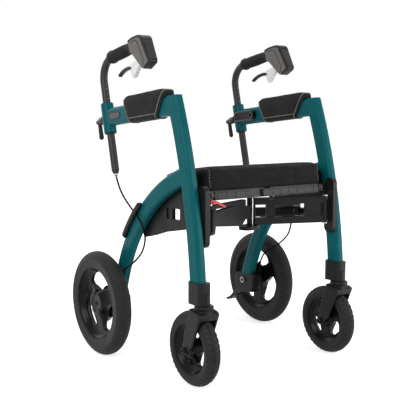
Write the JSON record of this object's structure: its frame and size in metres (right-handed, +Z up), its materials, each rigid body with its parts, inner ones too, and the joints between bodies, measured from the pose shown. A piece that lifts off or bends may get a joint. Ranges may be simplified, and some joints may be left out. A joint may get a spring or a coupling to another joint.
{
  "type": "rollator transport chair",
  "caption": "Folding wheeled walker with a padded seat, padded arms, height-adjustable brake handles, swivelling front casters and a double-knee fold linkage.",
  "frame": {"origin": "on the floor, under the middle of the bounding box", "axes": "+X to the right in the picture, the front faces -Y, +Z up"},
  "size_m": [0.64, 0.616, 0.8844],
  "materials": {
    "frame_paint": "gloss teal paint",
    "black_plastic": "fine grain black",
    "gloss_black": "polished black",
    "steel": "zinc plated",
    "drum": "satin black",
    "cable_sheath": "smooth black sheath",
    "tube_finish": "satin black anodised",
    "grip_rubber": "ribbed matte rubber",
    "housing": "dark grey grain",
    "lever_alloy": "silver satin",
    "tyre_rubber": "matte rubber",
    "rim_plastic": "polished black",
    "seat_plastic": "grey grain",
    "seat_cover": "woven black cover",
    "pad_cover": "woven black cover",
    "link_paint": "satin black powder coat",
    "release_red": "red moulded"
  },
  "bodies": {
    "left_frame": {"left_front_leg": "frame_paint", "left_rear_leg": "frame_paint", "left_arm": "frame_paint", "left_arm_pad": "pad_cover", "left_caster_socket": "black_plastic", "left_axle_bracket": "black_plastic", "left_gusset_panel": "black_plastic", "left_hinge_bracket": "black_plastic", "left_cable_clip": "gloss_black", "left_accessory_socket": "black_plastic", "left_steel_pins": "steel", "left_brake_drum": "drum", "left_brake_cable": "cable_sheath"},
    "left_handle": {"left_handle_tube": "tube_finish", "left_grip": "grip_rubber", "left_brake_housing": "housing"},
    "left_brake": {"left_brake_lever": "lever_alloy"},
    "left_clamp": {"left_clamp_lever": "black_plastic"},
    "left_rear_wheel": {"left_rear_tyre": "tyre_rubber", "left_rear_rim": "rim_plastic"},
    "left_caster": {"left_caster_fork": "black_plastic", "left_front_axle": "steel"},
    "left_front_wheel": {"left_front_tyre": "tyre_rubber", "left_front_rim": "rim_plastic"},
    "left_seat": {"left_seat_board": "seat_plastic", "left_seat_cushion": "seat_cover"},
    "right_frame": {"right_front_leg": "frame_paint", "right_rear_leg": "frame_paint", "right_arm": "frame_paint", "right_arm_pad": "pad_cover", "right_caster_socket": "black_plastic", "right_axle_bracket": "black_plastic", "right_gusset_panel": "black_plastic", "right_hinge_bracket": "black_plastic", "right_cable_clip": "gloss_black", "right_accessory_socket": "black_plastic", "right_steel_pins": "steel", "right_brake_drum": "drum", "right_brake_cable": "cable_sheath"},
    "right_handle": {"right_handle_tube": "tube_finish", "right_grip": "grip_rubber", "right_brake_housing": "housing"},
    "right_brake": {"right_brake_lever": "lever_alloy"},
    "right_clamp": {"right_clamp_lever": "black_plastic"},
    "right_rear_wheel": {"right_rear_tyre": "tyre_rubber", "right_rear_rim": "rim_plastic"},
    "right_caster": {"right_caster_fork": "black_plastic", "right_front_axle": "steel"},
    "right_front_wheel": {"right_front_tyre": "tyre_rubber", "right_front_rim": "rim_plastic"},
    "right_seat": {"right_seat_board": "seat_plastic", "right_seat_cushion": "seat_cover"},
    "front_left_link": {"front_left_arm": "link_paint", "front_knee_pin": "steel", "knee_foot": "black_plastic"},
    "front_right_link": {"front_right_arm": "link_paint"},
    "rear_left_link": {"rear_left_arm": "link_paint", "rear_knee_pin": "steel"},
    "rear_right_link": {"rear_right_arm": "link_paint"},
    "release": {"release_lever": "release_red"}
  },
  "joints": [
    {"name": "fold", "type": "hinge", "parent": "left_frame", "child": "front_left_link", "pos_m": [-0.2, -0.229, 0.419], "axis": [0, 0, 1], "range_deg": [0, 55]},
    {"name": "front_knee", "type": "hinge", "parent": "front_left_link", "child": "front_right_link", "pos_m": [0, -0.148, 0.419], "axis": [0, 0, -1], "range_deg": [0, 110]},
    {"name": "front_right_hinge", "type": "hinge", "parent": "front_right_link", "child": "right_frame", "pos_m": [0.2, -0.229, 0.419], "axis": [0, 0, 1], "range_deg": [0, 55]},
    {"name": "rear_left_hinge", "type": "hinge", "parent": "left_frame", "child": "rear_left_link", "pos_m": [-0.2, -0.117, 0.403], "axis": [0, 0, 1], "range_deg": [0, 55]},
    {"name": "rear_right_hinge", "type": "hinge", "parent": "right_frame", "child": "rear_right_link", "pos_m": [0.2, -0.117, 0.403], "axis": [0, 0, -1], "range_deg": [0, 55]},
    {"name": "left_seat_hinge", "type": "hinge", "parent": "left_frame", "child": "left_seat", "pos_m": [-0.19, -0.218, 0.479], "axis": [0, -0.9914, 0.1305], "range_deg": [0, 91], "deforming": ["left_seat_cushion"]},
    {"name": "right_seat_hinge", "type": "hinge", "parent": "right_frame", "child": "right_seat", "pos_m": [0.19, -0.218, 0.479], "axis": [0, 0.9914, -0.1305], "range_deg": [0, 91], "deforming": ["right_seat_cushion"]},
    {"name": "left_handle_height", "type": "slide", "parent": "left_frame", "child": "left_handle", "axis": [0, 0.2267, 0.974], "range_m": [0, 0.14], "deforming": ["left_brake_cable"]},
    {"name": "left_brake_squeeze", "type": "hinge", "parent": "left_handle", "child": "left_brake", "pos_m": [-0.24, 0.01413, 0.82219], "axis": [1, 0, 0], "range_deg": [-12, 10], "stiffness_Nm_per_rad": 2},
    {"name": "left_clamp_turn", "type": "hinge", "parent": "left_frame", "child": "left_clamp", "pos_m": [-0.24, 0.24516, 0.66034], "axis": [0, 0.974, -0.2267], "range_deg": [-100, 100]},
    {"name": "left_rear_spin", "type": "hinge", "parent": "left_frame", "child": "left_rear_wheel", "pos_m": [-0.297, 0.16, 0.148], "axis": [1, 0, 0], "continuous": true},
    {"name": "left_caster_swivel", "type": "hinge", "parent": "left_frame", "child": "left_caster", "pos_m": [-0.236, -0.253, 0.215], "axis": [0, 0, 1], "continuous": true},
    {"name": "left_front_spin", "type": "hinge", "parent": "left_caster", "child": "left_front_wheel", "pos_m": [-0.236, -0.212, 0.096], "axis": [1, 0, 0], "continuous": true},
    {"name": "right_handle_height", "type": "slide", "parent": "right_frame", "child": "right_handle", "axis": [0, 0.2267, 0.974], "range_m": [0, 0.14], "deforming": ["right_brake_cable"]},
    {"name": "right_brake_squeeze", "type": "hinge", "parent": "right_handle", "child": "right_brake", "pos_m": [0.24, 0.01413, 0.82219], "axis": [1, 0, 0], "range_deg": [-12, 10], "stiffness_Nm_per_rad": 2},
    {"name": "right_clamp_turn", "type": "hinge", "parent": "right_frame", "child": "right_clamp", "pos_m": [0.24, 0.24516, 0.66034], "axis": [0, 0.974, -0.2267], "range_deg": [-100, 100]},
    {"name": "right_rear_spin", "type": "hinge", "parent": "right_frame", "child": "right_rear_wheel", "pos_m": [0.297, 0.16, 0.148], "axis": [1, 0, 0], "continuous": true},
    {"name": "right_caster_swivel", "type": "hinge", "parent": "right_frame", "child": "right_caster", "pos_m": [0.236, -0.253, 0.215], "axis": [0, 0, 1], "continuous": true},
    {"name": "right_front_spin", "type": "hinge", "parent": "right_caster", "child": "right_front_wheel", "pos_m": [0.236, -0.212, 0.096], "axis": [1, 0, 0], "continuous": true},
    {"name": "release_press", "type": "hinge", "parent": "left_frame", "child": "release", "pos_m": [-0.205, -0.2425, 0.466], "axis": [0, 1, 0], "range_deg": [0, 15]}
  ],
  "couplings": [
    {"joint": "front_knee", "follows": "fold", "ratio": 2},
    {"joint": "front_right_hinge", "follows": "fold", "ratio": 1},
    {"joint": "rear_left_hinge", "follows": "fold", "ratio": 1},
    {"joint": "rear_right_hinge", "follows": "fold", "ratio": 1},
    {"joint": "left_seat_hinge", "follows": "fold", "ratio": 1.64},
    {"joint": "right_seat_hinge", "follows": "fold", "ratio": 1.64}
  ]
}
